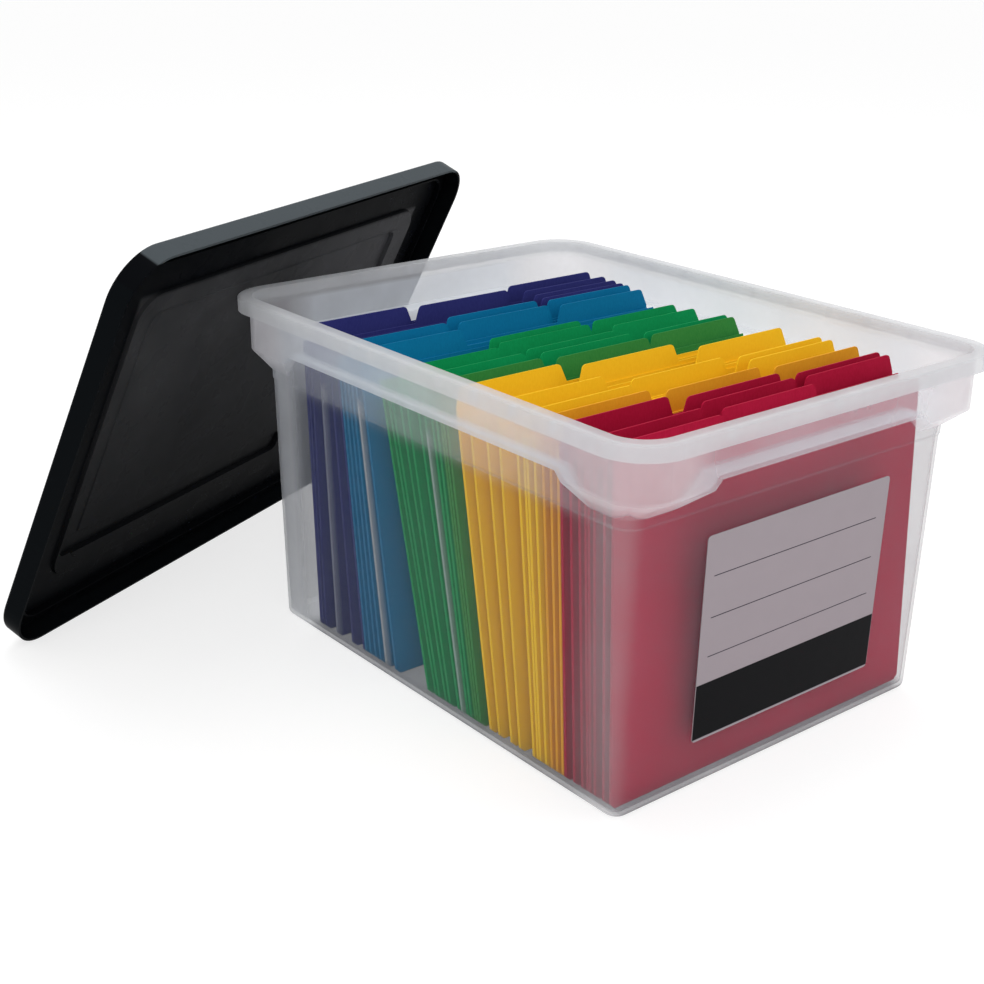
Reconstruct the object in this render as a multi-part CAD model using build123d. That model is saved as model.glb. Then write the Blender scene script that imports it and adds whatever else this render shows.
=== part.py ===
# Portable file box: a translucent tote with a moulded rim, its loose lid leaning on one rim corner,
# a card label on the front wall, and a run of one-third-cut letter folders standing in the tote.
# Millimetres. Origin at the centre of the tote's base, +Z up, -Y the labelled short side, +X its right.
from build123d import *
from math import atan2, cos, degrees, radians, sin, tan
import os

# ---- tote: rim and collar ----
rim_w = 358.0  # across the lip, X
rim_l = 470.0  # along the lip, Y
rim_r = 36.0  # plan radius of the lip
tote_h = 270.0
rim_t = 2.2  # flat flange on top
lip_h = 11.0  # how far the lip turns down, from the top
lip_t = 1.8
rim_round = 1.6  # soft outer edge of the rim
rim_reach = 9.0  # lip face to collar face
collar_h = 36.0  # rim top to the underside of the ledge
wall = 2.0

# ---- tote: body under the collar ----
body_w = 317.0  # across, at the ledge
body_l = 413.0
body_r = 16.0
draft = 1.3  # degrees, all four walls
base_round = 6.0  # outer bottom edge
floor_t = 3.0
floor_bevel = 3.0  # inner bottom edge
band_drop = 28.0  # the body's upper band, below the ledge
band_step = 0.8

# ---- tote: corner lobes that carry the collar down to the body ----
lobe_reach_w = 71.0  # along the short sides, from the collar's corner
lobe_reach_l = 74.0  # along the long sides
lobe_slope = 15.0  # height of the slope that runs in to the body
lobe_skirt = 6.0  # upright part under the ledge
gap_below = 6.0  # how far the cut between two lobes runs on below them

# ---- tote: gussets between lip and collar ----
gusset_t = 1.4
gusset_pitch_l = 38.4
gusset_count_l = 9
gusset_pitch_w = 98.0
gusset_count_w = 3
gusset_gap = 1.5  # lip edge to the foot of a gusset
gusset_root = 0.3  # how far a gusset runs into the lip, the collar and the flange

# ---- lid ----
lid_gap = 1.0  # skirt to lip, each side
lid_t = 2.0
lid_h = 18.0
lid_round = 3.0
panel_in_w = 45.0  # outer edge to the panel, from the long edges
panel_in_l = 42.0  # and from the short edges
panel_r = 24.0
panel_drop = 2.6
field_in_w = 18.0  # panel edge to the inner field
field_in_l = 15.0
field_r = 14.0
field_drop = 0.8
step_slope = 1.0  # how far the steps round panel and field lean in
rib_gap = 1.5  # locating rib to the inside of the collar
rib_t = 1.6
rib_h = 5.0
bead_d = 3.5  # height of the stiffening beads
bead_slope = 1.5  # how far a bead's walls lean in
long_bead_w = 24.0
long_bead_y = -99.5  # its centre line, from the lid's centre
long_bead_left = 193.0
long_bead_right = -105.0
end_bead_w = 38.0
end_bead_x = -149.0
end_bead_top = 118.0
end_bead_bottom = -60.0

# ---- lid: how it leans ----
lean = 64.3  # panel to the ground
turn = 24.2  # about Z, away from the tote's back
lean_along = 61.0  # where the rim corner meets the lid, along its long side
touch = 0.3  # between things that rest on each other

# ---- label ----
label_w = 182.0
label_h = 150.5
label_t = 0.5
label_r = 3.0
label_x = 4.5
label_drop = 19.5  # the body's band to the label's upper edge

# ---- folders ----
folder_w = 298.5
folder_x = 1.2  # they stand a little to the right of the middle
leaf_h = 237.5
tab_h = 13.5
undercut = 3.0  # the front leaf stops this far below the back one
leaf_t = 1.1
leaf_cut = 4.0  # clipped corners of a leaf
tab_r = 4.0
tab_slant = 5.0
fold_cut = 0.6
folder_gap = 0.45  # least clearance between one folder and the next
steepest = 18.0  # no folder leans more than this
behind = 45.2  # free room behind the last folder, at the floor
before = 7.0  # and in front of the first
lean_behind = 2.79
lean_before = 2.42
travel = 280.0  # a folder's way out along its own plane
# colour, tabs from back to front, and the share of the spare room before each folder:
# at the floor, and at the height a folder's top reaches when it is out
groups = (
    ("navy", "RLCRRR", (0, 0, 21, 135, 195, 125), (0, 18, 24, 42, 0, 0)),
    ("blue", "CRLCRL", (0, 37, 43, 38, 47, 100), (0, 0, 0, 0, 0, 0)),
    (
        "green",
        "CRCLRCLCRLRC",
        (391, 64, 17, 52, 20, 74, 13, 39, 13, 22, 0, 4),
        (0, 0, 24, 99, 100, 154, 91, 84, 40, 30, 1, 29),
    ),
    (
        "yellow",
        "LCRLCRLRLCR",
        (87, 70, 106, 62, 121, 14, 0, 31, 32, 27, 29),
        (132, 153, 203, 166, 201, 72, 7, 68, 86, 79, 61),
    ),
    ("red", "LCRCRLCL", (2, 60, 52, 24, 0, 17, 54, 38), (0, 61, 58, 34, 10, 37, 79, 69)),
)

# ---- derived ----
ledge_z = tote_h - collar_h
band_z = ledge_z - band_drop
lobe_z = ledge_z - lobe_skirt - lobe_slope
collar_w = rim_w - 2 * rim_reach
collar_l = rim_l - 2 * rim_reach
collar_r = rim_r - rim_reach
stand_z = floor_t + touch
lid_w = rim_l + 2 * (lid_gap + lid_t)  # along the lid's own long side
lid_d = rim_w + 2 * (lid_gap + lid_t)
lid_r = rim_r + lid_gap + lid_t
# inner faces of the lid above its mouth
plate_c = lid_h - lid_t
border_c = plate_c - panel_drop
field_c = border_c - field_drop


def rounded(size, z):
    """A rounded rectangle, (width, length, radius), lying at height z."""
    return Plane.XY.offset(z) * RectangleRounded(*size)


def prism(size, low, high):
    return extrude(rounded(size, low), high - low)


def bridge(low_size, high_size, low, high):
    """A loft between two rounded rectangles."""
    return loft([rounded(low_size, low), rounded(high_size, high)])


def grown(size, step):
    return (size[0] + 2 * step, size[1] + 2 * step, size[2] + step)


def body_size(z, inset=0.0):
    """The drafted body's plan at height z."""
    return grown((body_w, body_l, body_r), (z - ledge_z) * tan(radians(draft)) - inset)


def drafted(low, high, inset):
    """A block with the body's draft."""
    return extrude(rounded(body_size(low, inset), low), high - low, taper=-draft)


# ---- tote ----
def hand_gaps(inset):
    """The spaces between the lobes under the ledge, as two bars with ends that slope outward."""
    low = lobe_z - gap_below
    high = ledge_z + inset
    spread = high - low
    shift = inset * 2**0.5 - inset
    half_l = collar_l / 2 - lobe_reach_l + shift
    half_w = collar_w / 2 - lobe_reach_w + shift
    bars = []
    for plane, half, width in ((Plane.YZ, half_l, rim_w), (Plane.XZ, half_w, rim_l)):
        corners = ((-half, high), (half, high), (half + spread, low), (-half - spread, low))
        bars.append(extrude(plane * Polygon(*corners, align=None), width, both=True))
    return bars[0] + bars[1]


def lobes(inset):
    """Four corner lobes: the collar's upright face carried down, then run in to the body."""
    bottom = lobe_z + inset
    knee = ledge_z - lobe_skirt + inset / 2
    collar = grown((collar_w, collar_l, collar_r), -inset)
    slope = bridge(body_size(bottom, inset - band_step), collar, bottom, knee)
    skirt = prism(collar, knee, ledge_z + inset + 1)
    return slope + skirt - hand_gaps(inset)


def tote_form(inset, low, top):
    """The tote's outside when inset is 0, and its cavity when inset is the wall."""
    main = drafted(low, ledge_z + inset, inset)
    band = drafted(band_z, ledge_z + inset, inset - band_step)
    collar = prism(grown((collar_w, collar_l, collar_r), -inset), ledge_z + inset, top)
    return main, band + lobes(inset) + collar


main, upper = tote_form(0.0, 0.0, tote_h)
main = fillet(main.edges().group_by(Axis.Z)[0], base_round)
shell = main + upper
cavity_main, cavity_upper = tote_form(wall, floor_t, tote_h + 1)
cavity_main = chamfer(cavity_main.edges().group_by(Axis.Z)[0], floor_bevel)
shell -= cavity_main
shell -= cavity_upper

rim = (rim_w, rim_l, rim_r)
flange = prism(rim, tote_h - lip_h, tote_h)
flange = fillet(flange.edges().group_by(Axis.Z)[-1], rim_round)
flange -= prism(grown(rim, -lip_t), tote_h - lip_h - 1, tote_h - rim_t)
flange -= prism(grown(rim, -rim_reach - wall / 2), tote_h - rim_t - 1, tote_h + 1)
tote = shell + flange

gusset_h = lip_h - rim_t - gusset_gap
gusset_z = tote_h - rim_t - gusset_h / 2
gusset_l = rim_reach - lip_t
gusset = Box(gusset_l + 2 * gusset_root, gusset_t, gusset_h + 2 * gusset_root)
for side in (-1, 1):
    for n in range(gusset_count_l):
        y = (n - (gusset_count_l - 1) / 2) * gusset_pitch_l
        tote += Pos(side * (collar_w + gusset_l) / 2, y, gusset_z) * gusset
    for n in range(gusset_count_w):
        x = (n - (gusset_count_w - 1) / 2) * gusset_pitch_w
        tote += Pos(x, side * (collar_l + gusset_l) / 2, gusset_z) * Rot(0, 0, 90) * gusset


# ---- lid, flat with its mouth down at z = 0 ----
lid_plan = (lid_w, lid_d, lid_r)
lid = prism(lid_plan, 0, lid_h)
lid = fillet(lid.edges().group_by(Axis.Z)[-1], lid_round)
lid -= prism(grown(lid_plan, -lid_t), -1, plate_c)


def sink(plan, low_c, high_c):
    """Lower the top plate inside a plan, from inner face high_c to low_c, with leaning sides."""
    dish = bridge(grown(plan, -step_slope), plan, low_c, high_c)
    hollow = bridge(
        grown(plan, -step_slope - lid_t / 2), grown(plan, -lid_t / 2), low_c + lid_t, high_c + lid_t + 0.01
    )
    return lid + dish - hollow


panel = (lid_w - 2 * panel_in_l, lid_d - 2 * panel_in_w, panel_r)
field = (panel[0] - 2 * field_in_l, panel[1] - 2 * field_in_w, field_r)
lid = sink(panel, border_c, plate_c)
lid = sink(field, field_c, border_c)

rib = grown((collar_w, collar_l, collar_r), -wall - rib_gap)
rib = (rib[1], rib[0], rib[2])
lid += prism(rib, plate_c - rib_h, plate_c) - prism(grown(rib, -rib_t), plate_c - rib_h, plate_c)


def bead(x0, x1, y0, y1):
    """A stiffening bead: a ridge on the outside of the lid that is a groove on its inside."""
    groove_low = (x1 - x0, y1 - y0, min(x1 - x0, y1 - y0) / 4)
    groove_high = grown(groove_low, -bead_slope)
    middle = Pos((x0 + x1) / 2, (y0 + y1) / 2, 0)
    groove = bridge(groove_low, groove_high, field_c - 0.01, field_c + bead_d)
    ridge = bridge(
        grown(groove_low, lid_t), grown(groove_high, lid_t), field_c + lid_t / 2, field_c + lid_t + bead_d
    )
    return middle * ridge, middle * groove


half_long = long_bead_w / 2
half_end = end_bead_w / 2
bead_places = (
    (long_bead_right, long_bead_left, long_bead_y - half_long, long_bead_y + half_long),
    (end_bead_x - half_end, end_bead_x + half_end, end_bead_bottom, end_bead_top),
)
for place in bead_places:
    ridge, groove = bead(*place)
    lid += ridge
    lid -= groove

# the lid stands on its long edge, turned about Z, and rests on the tote's back left rim corner
sin_l = sin(radians(lean))
cos_l = cos(radians(lean))
yaw = radians(turn)
level = Vector(-sin(yaw), cos(yaw), 0)
along = Vector(-cos(yaw), -sin(yaw), 0)
outward = level * sin_l + Vector(0, 0, cos_l)
upward = outward.cross(along)
# the rim corner's round edge, where it comes nearest the lid
knuckle = Vector(-rim_w / 2 + rim_r, rim_l / 2 - rim_r, tote_h - rim_round)
knuckle = knuckle + level * (rim_r - rim_round) + outward * rim_round
# it meets the field, the border round it or the top plate, whichever of them lies that far up the lid
for inner_c, reach in ((field_c, field[1] / 2), (border_c, panel[1] / 2), (plate_c, rib[1] / 2)):
    up_lid = (knuckle.Z + outward.Z * (touch - inner_c)) / sin_l - lid_d / 2
    if abs(up_lid) < reach - rim_round:
        break
lid_origin = knuckle + outward * (touch - inner_c) - upward * up_lid - along * lean_along
lid = Plane(origin=lid_origin, x_dir=along, z_dir=outward).location * lid

# ---- label, flat on the drafted front wall ----
label_z = band_z - label_drop - label_h * cos(radians(draft))
label_y = -body_size(label_z)[1] / 2
label_plane = Plane(
    origin=(label_x, label_y, label_z),
    x_dir=(1, 0, 0),
    z_dir=(0, -cos(radians(draft)), -sin(radians(draft))),
)
label = label_plane * Pos(0, label_h / 2, 0) * RectangleRounded(label_w, label_h, label_r)
label = extrude(label, label_t)


# ---- folders ----
def folder(tab):
    """One shut folder standing on its fold, back face at y = 0, with its tab on the back leaf."""
    half = folder_w / 2
    cut = folder_w / 3
    left = -half + tab * cut
    top = leaf_h + tab_h
    front_top = leaf_h - undercut
    bottom = ((-half, leaf_cut), (-half + leaf_cut, 0), (half - leaf_cut, 0), (half, leaf_cut))
    step = ((left + cut, leaf_h), (left + cut - tab_slant, top), (left + tab_slant, top), (left, leaf_h))
    # beside an end tab the leaf's own corner is the tab's foot
    right_corner = () if tab == 2 else ((half, leaf_h),)
    left_corner = () if tab == 0 else ((-half, leaf_h),)
    back = Polygon(*bottom, *right_corner, *step, *left_corner, align=None)
    back = fillet(back.vertices().group_by(Axis.Y)[-1], tab_r)
    front = Polygon(*bottom, (half, front_top), (-half, front_top), align=None)
    leaves = extrude(Plane.XZ * back, leaf_t) + extrude(Plane.XZ * front, 2 * leaf_t)
    return chamfer(leaves.faces().sort_by(Axis.Z)[0].edges().filter_by(Axis.X), fold_cut)


rise = leaf_h + tab_h + travel
pitch = 2 * leaf_t / cos(radians(steepest)) + folder_gap
count = sum(len(tabs) for colour, tabs, foot_shares, head_shares in groups)
half_foot = body_size(floor_t, wall)[1] / 2
first_y = half_foot - behind
last_y = -half_foot + before + 2 * leaf_t
first_head = first_y + rise * tan(radians(lean_behind))
last_head = last_y + rise * tan(radians(lean_before))
spare_foot = (first_y - last_y) - (count - 1) * pitch
spare_head = (first_head - last_head) - (count - 1) * pitch
all_foot = sum(sum(foot_shares) for colour, tabs, foot_shares, head_shares in groups)
all_head = sum(sum(head_shares) for colour, tabs, foot_shares, head_shares in groups)
folders = {}
foot_y = first_y + pitch
head_y = first_head + pitch
for colour, tabs, foot_shares, head_shares in groups:
    for n, tab in enumerate(tabs):
        foot_y -= pitch + spare_foot * foot_shares[n] / all_foot
        head_y -= pitch + spare_head * head_shares[n] / all_head
        tilt = atan2(head_y - foot_y, rise)
        place = Pos(folder_x, foot_y, stand_z) * Rot(-degrees(tilt), 0, 0)
        name = f"folder_{colour}_{n + 1}"
        folders[name] = place * folder("LCR".index(tab))
        print(name, "slides along y", round(sin(tilt), 5), "z", round(cos(tilt), 5))

# ---- write ----
os.makedirs("parts", exist_ok=True)
export_step(tote, "parts/tote.step")
export_step(lid, "parts/lid.step")
export_step(label, "parts/label.step")
for name, solid in folders.items():
    export_step(solid, f"parts/{name}.step")
print("lid origin", [round(v, 2) for v in lid_origin], "outward", [round(v, 4) for v in outward])
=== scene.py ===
import bmesh
import bpy
from mathutils import Matrix, Vector


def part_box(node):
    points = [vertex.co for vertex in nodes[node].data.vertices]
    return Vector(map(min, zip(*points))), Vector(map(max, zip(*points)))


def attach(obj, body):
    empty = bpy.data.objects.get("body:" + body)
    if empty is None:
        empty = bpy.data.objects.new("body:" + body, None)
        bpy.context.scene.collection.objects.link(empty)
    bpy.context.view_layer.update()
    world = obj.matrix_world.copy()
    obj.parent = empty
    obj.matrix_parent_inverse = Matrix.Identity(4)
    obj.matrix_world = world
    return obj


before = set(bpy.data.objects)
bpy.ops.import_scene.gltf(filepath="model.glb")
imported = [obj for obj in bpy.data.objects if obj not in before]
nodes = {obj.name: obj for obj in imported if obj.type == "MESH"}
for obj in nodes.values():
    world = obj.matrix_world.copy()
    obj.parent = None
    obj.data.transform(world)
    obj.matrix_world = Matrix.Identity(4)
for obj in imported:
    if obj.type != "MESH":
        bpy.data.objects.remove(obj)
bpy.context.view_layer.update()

noiseRange = (0.3, 0.7)  # nearly all values of a noise lie in here


def setInput(node, **values):  # socket names with the spaces taken out
    sockets = {}
    for socket in node.inputs:
        sockets.setdefault(socket.name.replace(" ", ""), socket)
    for name, value in values.items():
        sockets[name].default_value = value


def newMaterial(name, colour, **values):
    material = bpy.data.materials.new(name)
    material.use_nodes = True
    shader = material.node_tree.nodes["Principled BSDF"]
    shader.inputs["Base Color"].default_value = (*colour, 1)
    setInput(shader, **values)
    return material, shader


# In the node helpers below, the holder is a material or the world.
def addNode(holder, kind, **settings):
    node = holder.node_tree.nodes.new(kind)
    for name, value in settings.items():
        setattr(node, name, value)
    return node


def join(holder, source, target):
    holder.node_tree.links.new(source, target)


def feed(holder, value, socket):  # another node's output is joined, a colour or a number is set
    if hasattr(value, "links"):
        join(holder, value, socket)
    elif isinstance(value, tuple):
        socket.default_value = (*value, 1)
    else:
        socket.default_value = value


def mathNode(holder, operation, first, second=0, clamp=False):
    node = addNode(holder, "ShaderNodeMath", operation=operation, use_clamp=clamp)
    feed(holder, first, node.inputs[0])
    feed(holder, second, node.inputs[1])
    return node.outputs[0]


def multiply(holder, product, *others):
    for other in others:
        product = mathNode(holder, "MULTIPLY", product, other)
    return product


def between(holder, source, low, high, start=0, end=1):  # start at low, end at high, held beyond them
    step = addNode(holder, "ShaderNodeMapRange")
    setInput(step, FromMin=low, FromMax=high, ToMin=start, ToMax=end)
    join(holder, source, step.inputs["Value"])
    return step.outputs["Result"]


def mixNumbers(holder, share, first, second):
    gap = mathNode(holder, "SUBTRACT", second, first)
    return mathNode(holder, "ADD", multiply(holder, share, gap), first)


def mixShades(holder, share, first, second):
    mix = addNode(holder, "ShaderNodeMix", data_type="RGBA")
    join(holder, share, mix.inputs[0])
    feed(holder, first, mix.inputs[6])  # the two sockets that take colours
    feed(holder, second, mix.inputs[7])
    return mix.outputs[2]


def mixShaders(holder, share, first, second):
    mix = addNode(holder, "ShaderNodeMixShader")
    feed(holder, share, mix.inputs[0])
    join(holder, first, mix.inputs[1])
    join(holder, second, mix.inputs[2])
    return mix.outputs[0]


def seenStraight(holder):  # 1 for the camera, a gloss or glass, and 0 for light on its way
    path = addNode(holder, "ShaderNodeLightPath")
    seen = mathNode(holder, "MAXIMUM", path.outputs["Is Camera Ray"], path.outputs["Is Glossy Ray"])
    return mathNode(holder, "MAXIMUM", seen, path.outputs["Is Transmission Ray"])


def placeParts(material):  # X, Y and Z of the point
    place = addNode(material, "ShaderNodeTexCoord")
    parts = addNode(material, "ShaderNodeSeparateXYZ")
    join(material, place.outputs["Object"], parts.inputs[0])
    return parts.outputs


def objectNoise(material, scale, detail, stretch=(1, 1, 1)):
    place = addNode(material, "ShaderNodeTexCoord")
    turn = addNode(material, "ShaderNodeMapping")
    turn.inputs["Scale"].default_value = stretch
    noise = addNode(material, "ShaderNodeTexNoise")
    setInput(noise, Scale=scale, Detail=detail)
    join(material, place.outputs["Object"], turn.inputs["Vector"])
    join(material, turn.outputs["Vector"], noise.inputs["Vector"])
    return noise.outputs["Fac"]


def spread(material, noise, low, high):  # a noise brought to a narrow range
    return between(material, noise, *noiseRange, low, high)


def addBump(material, shader, source, strength, distance):
    bump = addNode(material, "ShaderNodeBump")
    setInput(bump, Strength=strength, Distance=distance)
    join(material, source, bump.inputs["Height"])
    join(material, bump.outputs["Normal"], shader.inputs["Normal"])


def finishNode(name, material):
    mesh = nodes[name].data
    mesh.materials.clear()
    mesh.materials.append(material)


def newPiece(name, builder, material):
    mesh = bpy.data.meshes.new(name)
    builder.to_mesh(mesh)
    builder.free()
    mesh.materials.append(material)
    piece = bpy.data.objects.new(name, mesh)
    bpy.context.collection.objects.link(piece)
    return piece


toteLook = {
    # The milk's colour, and how much one skin of the plastic hides. Each lies over those before it.
    "skins": {
        "wall": ((0.40, 0.44, 0.49), 0.12),
        "flank": ((0.34, 0.38, 0.42), 0.08),  # the two long walls
        "band": ((0.76, 0.79, 0.84), 0.20),  # the same walls close under the collar
        # partly painted shade: greyer, denser milk low on the walls stands in for the shadow under the
        # tote, and partly for the thicker plastic at the bottom
        "foot": ((0.34, 0.34, 0.37), 0.30),
        # painted shadow: dark, dense milk on the tote's floor plate stands in for the shadow under the tote
        "base": ((0.26, 0.27, 0.30), 0.55),
        "corner": ((0.62, 0.64, 0.67), 0.22),
        "back": ((0.72, 0.74, 0.77), 0.40),  # painted light: paler, denser milk round the bare room behind the folders, for the light that comes through the wall there
        "collar": ((0.76, 0.79, 0.84), 0.25),
        "side": ((0.76, 0.79, 0.84), 0.40),  # the collar along the two long sides
        "rear": ((0.86, 0.89, 0.93), 0.58),  # high on the end wall, which light from above lies on
        "lobe": ((0.82, 0.81, 0.84), 0.38),
        "rim": ((0.76, 0.77, 0.79), 0.45),
    },
    "footHalf": (0.1532, 0.2012),  # half the body at its foot, across and along
    "draft": 0.0227,  # how fast the walls lean out with height
    "flankOut": (-0.0035, -0.0025),  # measured out from the walls' face, as the next is
    "collarOut": (0.0006, 0.004),
    "lobeHalf": ((0.100, 0.128), (0.154, 0.176)),  # from the middle, across and along
    "cornerHalf": ((0.142, 0.153), (0.150, 0.178)),
    "backAlong": (0.160, 0.176),
    "rearAlong": (0.196, 0.202),
    "rearHeight": (0.16, 0.23),
    "baseHeight": (0.0035, 0.0055),
    "footHeight": (0.004, 0.014),
    "bandHeight": (0.198, 0.210),
    "rimHeight": (0.2565, 0.2595),
    "cloudScale": 22,
    "cloudRange": (0.9, 1.1),
    "rippleScale": 60,
    "rippleStrength": 0.03,
    "rippleDepth": 0.0003,
    "edgeBlend": 0.35,
    "edgePower": 2.5,
    "edgeDense": 0.4,  # added where a skin is seen edge on
    "passesOn": 0.46,  # share of the milk's light that comes from behind it
    "shadowShare": 0.3,  # how much of what it hides a lamp's light loses
    "roughness": 0.3,
    "bending": 1.49,
}


def toteShares(material):  # how far each skin but the wall's reaches at a point
    look = toteLook
    place = placeParts(material)
    height = place["Z"]
    lean = multiply(material, height, look["draft"])
    proud, lobe, corner = [], [], []
    for axis in range(2):
        out = mathNode(material, "ABSOLUTE", place[axis])
        wall = mathNode(material, "ADD", lean, look["footHalf"][axis])
        proud.append(mathNode(material, "SUBTRACT", out, wall))
        lobe.append(between(material, out, *look["lobeHalf"][axis]))
        corner.append(between(material, out, *look["cornerHalf"][axis]))
    flank = between(material, proud[0], *look["flankOut"])
    collar = between(material, mathNode(material, "MAXIMUM", *proud), *look["collarOut"])
    rear = between(material, place["Y"], *look["rearAlong"])
    return {
        "flank": flank,
        "band": multiply(material, flank, between(material, height, *look["bandHeight"])),
        # partly painted shade: the walls are greyer low down, for the shadow under the tote and the thicker
        # bottom
        "foot": between(material, height, *look["footHeight"], 1, 0),
        # painted shadow: the tote's floor plate is darkened
        "base": between(material, height, *look["baseHeight"], 1, 0),
        "corner": multiply(material, *corner),
        # painted light: the wall is paler round the bare room behind the folders
        "back": between(material, place["Y"], *look["backAlong"]),
        "collar": collar,
        "side": between(material, proud[0], *look["collarOut"]),
        "rear": multiply(material, rear, between(material, height, *look["rearHeight"])),
        "lobe": multiply(material, *lobe, collar),
        "rim": between(material, height, *look["rimHeight"]),
    }


def makeTotePlastic():
    look = toteLook
    skins = look["skins"]
    material, shader = newMaterial(
        "totePlastic", skins["rim"][0], Roughness=look["roughness"], IOR=look["bending"]
    )
    ripple = objectNoise(material, look["rippleScale"], 2)
    addBump(material, shader, ripple, look["rippleStrength"], look["rippleDepth"])
    milk, dense = skins["wall"]
    for name, share in toteShares(material).items():
        milk = mixShades(material, share, milk, skins[name][0])
        dense = mixNumbers(material, share, dense, skins[name][1])
    join(material, milk, shader.inputs["Base Color"])
    cloud = spread(material, objectNoise(material, look["cloudScale"], 3), *look["cloudRange"])
    facing = addNode(material, "ShaderNodeLayerWeight")
    setInput(facing, Blend=look["edgeBlend"])
    edge = mathNode(material, "POWER", facing.outputs["Facing"], look["edgePower"])
    edge = multiply(material, edge, look["edgeDense"])
    dense = mathNode(material, "ADD", multiply(material, dense, cloud), edge, True)
    path = addNode(material, "ShaderNodeLightPath")
    lamp = mixNumbers(material, path.outputs["Is Shadow Ray"], 1, look["shadowShare"])
    glow = addNode(material, "ShaderNodeBsdfTranslucent")
    join(material, milk, glow.inputs["Color"])
    through = addNode(material, "ShaderNodeBsdfTransparent")
    plastic = mixShaders(material, look["passesOn"], shader.outputs[0], glow.outputs[0])
    plastic = mixShaders(material, multiply(material, dense, lamp), through.outputs[0], plastic)
    join(material, plastic, material.node_tree.nodes["Material Output"].inputs["Surface"])
    return material


finishNode("tote", makeTotePlastic())
print("tote dressed")

lidLook = {
    "middle": (-0.11719, 0.29038, 0.164),  # the middle of the lid's open side
    "along": (-0.9121, -0.4099, 0),  # the way of its long side
    "upSlope": (0.1778, -0.3956, 0.9011),  # the way of its short side
    "panelHalf": (0.198, 0.137),
    "panelSoft": 0.004,
    "skirtHalf": (0.2345, 0.1785),
    "skirtSoft": 0.001,
    "border": (0.0035, 0.004, 0.005),
    "panelLow": (0.002, 0.0025, 0.003),  # the panel's painted reflection goes from this, low down, to the next
    "panelHigh": (0.072, 0.072, 0.076),
    "panelClimb": (-0.13, 0.12),
    "skirt": (0.004, 0.005, 0.006),
    # painted reflection: the upper skirt is lighter, as if it caught the light from above
    "upperSkirt": (0.070, 0.082, 0.090),
    "upperClimb": (0.172, 0.178),
    "cloudScale": 7,
    "cloudRange": (0.35, 1),
    "smudgeScale": 40,
    "roughness": (0.23, 0.36),
    "grainScale": 1400,
    "grainStrength": 0.1,
    "grainDepth": 0.0001,
    "shine": 0.006,
    "bending": 1.5,
}


def insideOf(material, sides, half, soft):  # 1 inside a rectangle, 0 outside it
    shares = [between(material, side, reach - soft, reach, 1, 0) for side, reach in zip(sides, half)]
    return multiply(material, *shares)


def makeLidPlastic():
    look = lidLook
    material, shader = newMaterial(
        "lidPlastic", look["border"], IOR=look["bending"], SpecularIORLevel=look["shine"]
    )
    place = addNode(material, "ShaderNodeTexCoord")
    offset = addNode(material, "ShaderNodeVectorMath", operation="SUBTRACT")
    join(material, place.outputs["Object"], offset.inputs[0])
    offset.inputs[1].default_value = look["middle"]
    ways = []
    for way in ("along", "upSlope"):
        dot = addNode(material, "ShaderNodeVectorMath", operation="DOT_PRODUCT")
        join(material, offset.outputs["Vector"], dot.inputs[0])
        dot.inputs[1].default_value = look[way]
        ways.append(dot.outputs["Value"])
    climb = ways[1]
    sides = [mathNode(material, "ABSOLUTE", way) for way in ways]
    panel = insideOf(material, sides, look["panelHalf"], look["panelSoft"])
    inner = insideOf(material, sides, look["skirtHalf"], look["skirtSoft"])
    # Painted reflection: the sunk panel gets a clouded sheen, darkest low down and lighter towards its top.
    cloud = spread(material, objectNoise(material, look["cloudScale"], 4), *look["cloudRange"])
    rise = between(material, climb, *look["panelClimb"])
    paintedReflection = mixShades(material, rise, look["panelLow"], look["panelHigh"])
    face = mixShades(material, multiply(material, panel, cloud), look["border"], paintedReflection)
    # painted reflection on the upper skirt, over the black of the rest
    upperSheen = between(material, climb, *look["upperClimb"])
    skirt = mixShades(material, upperSheen, look["skirt"], look["upperSkirt"])
    join(material, mixShades(material, inner, skirt, face), shader.inputs["Base Color"])
    smudge = spread(material, objectNoise(material, look["smudgeScale"], 4), *look["roughness"])
    join(material, smudge, shader.inputs["Roughness"])
    grain = objectNoise(material, look["grainScale"], 2)
    addBump(material, shader, grain, look["grainStrength"], look["grainDepth"])
    return material


finishNode("lid", makeLidPlastic())
print("lid dressed")

folderLook = {
    "shades": {  # the card's two colours, which its clouding goes between
        "navy": ((0.024, 0.027, 0.155), (0.036, 0.040, 0.20)),
        "blue": ((0.0, 0.155, 0.33), (0.001, 0.195, 0.40)),
        "green": ((0.0, 0.255, 0.070), (0.002, 0.33, 0.10)),
        "olive": ((0.020, 0.21, 0.04), (0.045, 0.27, 0.055)),
        "yellow": ((0.90, 0.53, 0.010), (0.96, 0.61, 0.020)),
        "amber": ((0.76, 0.33, 0.012), (0.86, 0.41, 0.022)),
        "red": ((0.37, 0.002, 0.028), (0.47, 0.006, 0.046)),
    },
    "otherShade": {"green": ("olive", 10), "yellow": ("amber", 9)},  # from this folder on
    # Painted light: folders with bare room before them get a pale edge on the left, where light falls in
    # through the gap: how pale, and where.
    "wear": {"folder_navy_4": 0.45, "folder_blue_5": 0.9, "folder_green_7": 0.65},
    "wearColour": (0.42, 0.45, 0.47),
    "wearAcross": (-0.1478, -0.1425),
    "wearHeight": (0.205, 0.215),
    "fibreScale": 900,
    "fibreStretch": (1, 1, 0.35),
    "cloudScale": 9,
    "shadeRange": (0, 0.5),  # what fibre and cloud each add to the shade
    "fibreStrength": 0.25,
    "fibreDepth": 0.0002,
    "roughness": 0.75,
    "shine": 0.08,
    "sheen": 0.02,
}


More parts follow.
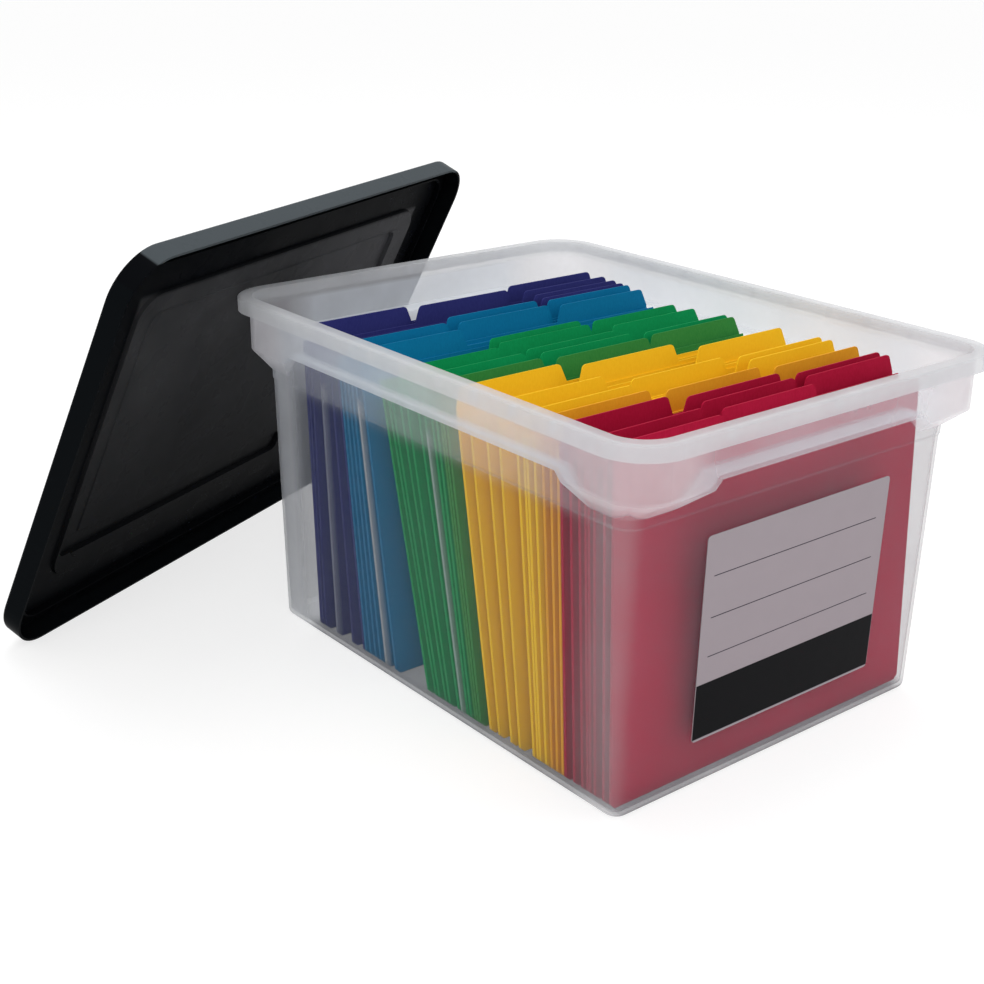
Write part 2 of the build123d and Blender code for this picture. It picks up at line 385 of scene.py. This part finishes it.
def makeCard(name, shades, wear=0):
    look = folderLook
    material, shader = newMaterial(name, shades[0], Roughness=look["roughness"])
    setInput(shader, SpecularIORLevel=look["shine"], SheenWeight=look["sheen"])
    fibre = objectNoise(material, look["fibreScale"], 4, look["fibreStretch"])
    cloud = objectNoise(material, look["cloudScale"], 5)
    parts = [spread(material, noise, *look["shadeRange"]) for noise in (fibre, cloud)]
    colour = mixShades(material, mathNode(material, "ADD", *parts), *shades)
    # painted light: a pale edge on the left, below the tab, for folders with bare room before them
    if wear:
        place = placeParts(material)
        edge = between(material, place["X"], *look["wearAcross"], wear, 0)
        low = between(material, place["Z"], *look["wearHeight"], 1, 0)
        colour = mixShades(material, multiply(material, edge, low), colour, look["wearColour"])
    join(material, colour, shader.inputs["Base Color"])
    addBump(material, shader, fibre, look["fibreStrength"], look["fibreDepth"])
    return material


def dressFolders():
    look = folderLook
    cards = {shade: makeCard(shade + "Card", pair) for shade, pair in look["shades"].items()}
    for name in nodes:
        if name.startswith("folder_"):
            shade, number = name.split("_")[1:]
            other, first = look["otherShade"].get(shade, (shade, 1))
            if int(number) >= first:
                shade = other
            card = cards[shade]
            if name in look["wear"]:
                card = makeCard(shade + "WornCard", look["shades"][shade], look["wear"][name])
            finishNode(name, card)


dressFolders()
print("folders dressed")

labelLook = {
    # painted shade: the white label paper is given a grey, faintly mauve colour for the shade on the front
    # face
    "paper": (0.31, 0.265, 0.29),
    "paperPale": 1.06,  # the lighter clouds, as a multiple of the paper's colour
    "paperRoughness": 0.6,
    "cloudScale": 60,
    "fibreScale": 1200,
    "fibreStrength": 0.15,
    "fibreDepth": 0.0001,
    "thick": 0.0005,
    "block": (0.005, 0.005, 0.006),
    "blockRoughness": 0.35,
    "blockEdge": 0.0003,  # paper left bare beside the block
    "blockFoot": 0.0018,  # and below it
    "blockTop": 0.079,
    "blockThick": 0.00008,
    "rules": (0.157, 0.127, 0.0985),  # their heights
    "ruleInk": (0.035, 0.03, 0.045),
    "ruleRoughness": 0.5,
    "ruleWide": 0.0006,
    "ruleLeft": -0.078,
    "ruleRight": 0.085,
    "ruleThick": 0.00005,
    "inkOut": 0.00006,  # how far the ink stands off the paper
    "inkShine": 0.03,
    "inkScale": 200,
    "inkWear": 0.05,
}
labelLow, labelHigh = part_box("label")


def makeLabelPaper():
    look = labelLook
    material, shader = newMaterial("labelPaper", look["paper"], Roughness=look["paperRoughness"])
    # the paper's grey is painted shade
    pale = tuple(look["paperPale"] * part for part in look["paper"])
    cloud = objectNoise(material, look["cloudScale"], 4)
    join(material, mixShades(material, cloud, look["paper"], pale), shader.inputs["Base Color"])
    fibre = objectNoise(material, look["fibreScale"], 3)
    addBump(material, shader, fibre, look["fibreStrength"], look["fibreDepth"])
    return material


def makeInk(name, colour, roughness):
    look = labelLook
    material, shader = newMaterial(name, colour, SpecularIORLevel=look["inkShine"])
    noise = objectNoise(material, look["inkScale"], 3)
    wear = spread(material, noise, roughness - look["inkWear"], roughness + look["inkWear"])
    join(material, wear, shader.inputs["Roughness"])
    return material


def beforeLabel(x, z):  # a point just off the label's face, which leans with the wall
    share = (z - labelLow.z) / (labelHigh.z - labelLow.z)
    footY = labelHigh.y - labelLook["thick"]
    return Vector((x, footY + (labelLow.y - footY) * share - labelLook["inkOut"], z))


def addPrint(name, left, right, bottom, top, thick, ink):
    builder = bmesh.new()
    bmesh.ops.create_grid(builder, x_segments=1, y_segments=1, size=0.5)
    for vert in builder.verts:
        vert.co = beforeLabel(right if vert.co.x > 0 else left, top if vert.co.y > 0 else bottom)
    bmesh.ops.recalc_face_normals(builder, faces=builder.faces)
    for face in builder.faces:
        if face.normal.y > 0:
            face.normal_flip()
    bmesh.ops.solidify(builder, geom=builder.faces[:], thickness=thick)
    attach(newPiece(name, builder, ink), "tote")


def printLabel():
    look = labelLook
    ruleInk = makeInk("ruleInk", look["ruleInk"], look["ruleRoughness"])
    blockInk = makeInk("blockInk", look["block"], look["blockRoughness"])
    left, right = labelLow.x + look["blockEdge"], labelHigh.x - look["blockEdge"]
    foot = labelLow.z + look["blockFoot"]
    addPrint("labelBlock", left, right, foot, look["blockTop"], look["blockThick"], blockInk)
    half = look["ruleWide"] / 2
    left, right = look["ruleLeft"], look["ruleRight"]
    for count, height in enumerate(look["rules"], 1):
        addPrint(f"labelRule{count}", left, right, height - half, height + half, look["ruleThick"], ruleInk)


finishNode("label", makeLabelPaper())
printLabel()
print("label dressed")

stageLook = {
    "floor": (0.9, 0.9, 0.9),  # its colour for the light that it throws back
    "floorSeen": (0.38, 0.38, 0.38),  # its colour where it is seen, and the white added there
    "floorWhite": 0.70,
    "floorRoughness": 0.9,
    "floorShine": 0.1,
    "floorSize": 30,
    "floorDrop": 0.0002,  # just below the tote's base
    "world": 0.66,
    "lampAim": (0, 0, 0.1),
    "lamps": {  # place, size and power
        "keyLamp": ((-1.6, -1.6, 2.4), 1.6, 25),
        "fillLamp": ((1.9, -1.4, 1.3), 1.8, 9),
        "topLamp": ((0.2, 0.9, 2.6), 1.6, 18),
    },
}


def makeFloor():
    look = stageLook
    material, shader = newMaterial(
        "floorPaint", look["floor"], Roughness=look["floorRoughness"], SpecularIORLevel=look["floorShine"]
    )
    seen = seenStraight(material)
    join(material, mixShades(material, seen, look["floor"], look["floorSeen"]), shader.inputs["Base Color"])
    join(material, multiply(material, seen, look["floorWhite"]), shader.inputs["Emission Strength"])
    setInput(shader, EmissionColor=(1, 1, 1, 1))
    builder = bmesh.new()
    bmesh.ops.create_grid(builder, x_segments=1, y_segments=1, size=look["floorSize"])
    floor = newPiece("floor", builder, material)
    floor.location.z = -look["floorDrop"]


def makeWorld():
    world = bpy.data.worlds.new("studio")
    bpy.context.scene.world = world
    world.use_nodes = True
    back = world.node_tree.nodes["Background"]
    setInput(back, Color=(1, 1, 1, 1))
    join(world, between(world, seenStraight(world), 0, 1, stageLook["world"], 1), back.inputs["Strength"])


def addLamp(name, place, size, power):
    data = bpy.data.lights.new(name, "AREA")
    data.shape = "DISK"
    data.size = size
    data.energy = power
    lamp = bpy.data.objects.new(name, data)
    lamp.location = place
    aim = Vector(stageLook["lampAim"]) - Vector(place)
    lamp.rotation_euler = aim.to_track_quat("-Z", "Y").to_euler()
    bpy.context.collection.objects.link(lamp)


makeFloor()
makeWorld()
for lampName, lampLook in stageLook["lamps"].items():
    addLamp(lampName, *lampLook)
print("stage ready")

cameraLook = {
    "place": (-0.76315, -0.82043, 0.56513),
    "right": (0.77792, -0.62828, 0.01054),
    "up": (0.21928, 0.28715, 0.93245),
    "forward": (0.58886, 0.72306, -0.36115),
    "focalPixels": 1557.82,
    "framePixels": 984,
    "sensor": 36,
    "reach": 100,
}


def makeCamera():
    look = cameraLook
    turn = Matrix((Vector(look["right"]), Vector(look["up"]), -Vector(look["forward"])))
    data = bpy.data.cameras.new("camera")
    data.sensor_width = look["sensor"]
    data.lens = look["focalPixels"] / look["framePixels"] * look["sensor"]
    data.clip_end = look["reach"]
    camera = bpy.data.objects.new("camera", data)
    camera.matrix_world = Matrix.Translation(look["place"]) @ turn.transposed().to_4x4()
    bpy.context.collection.objects.link(camera)
    bpy.context.scene.camera = camera


makeCamera()
bpy.context.scene.view_settings.view_transform = "Standard"
print("camera ready")
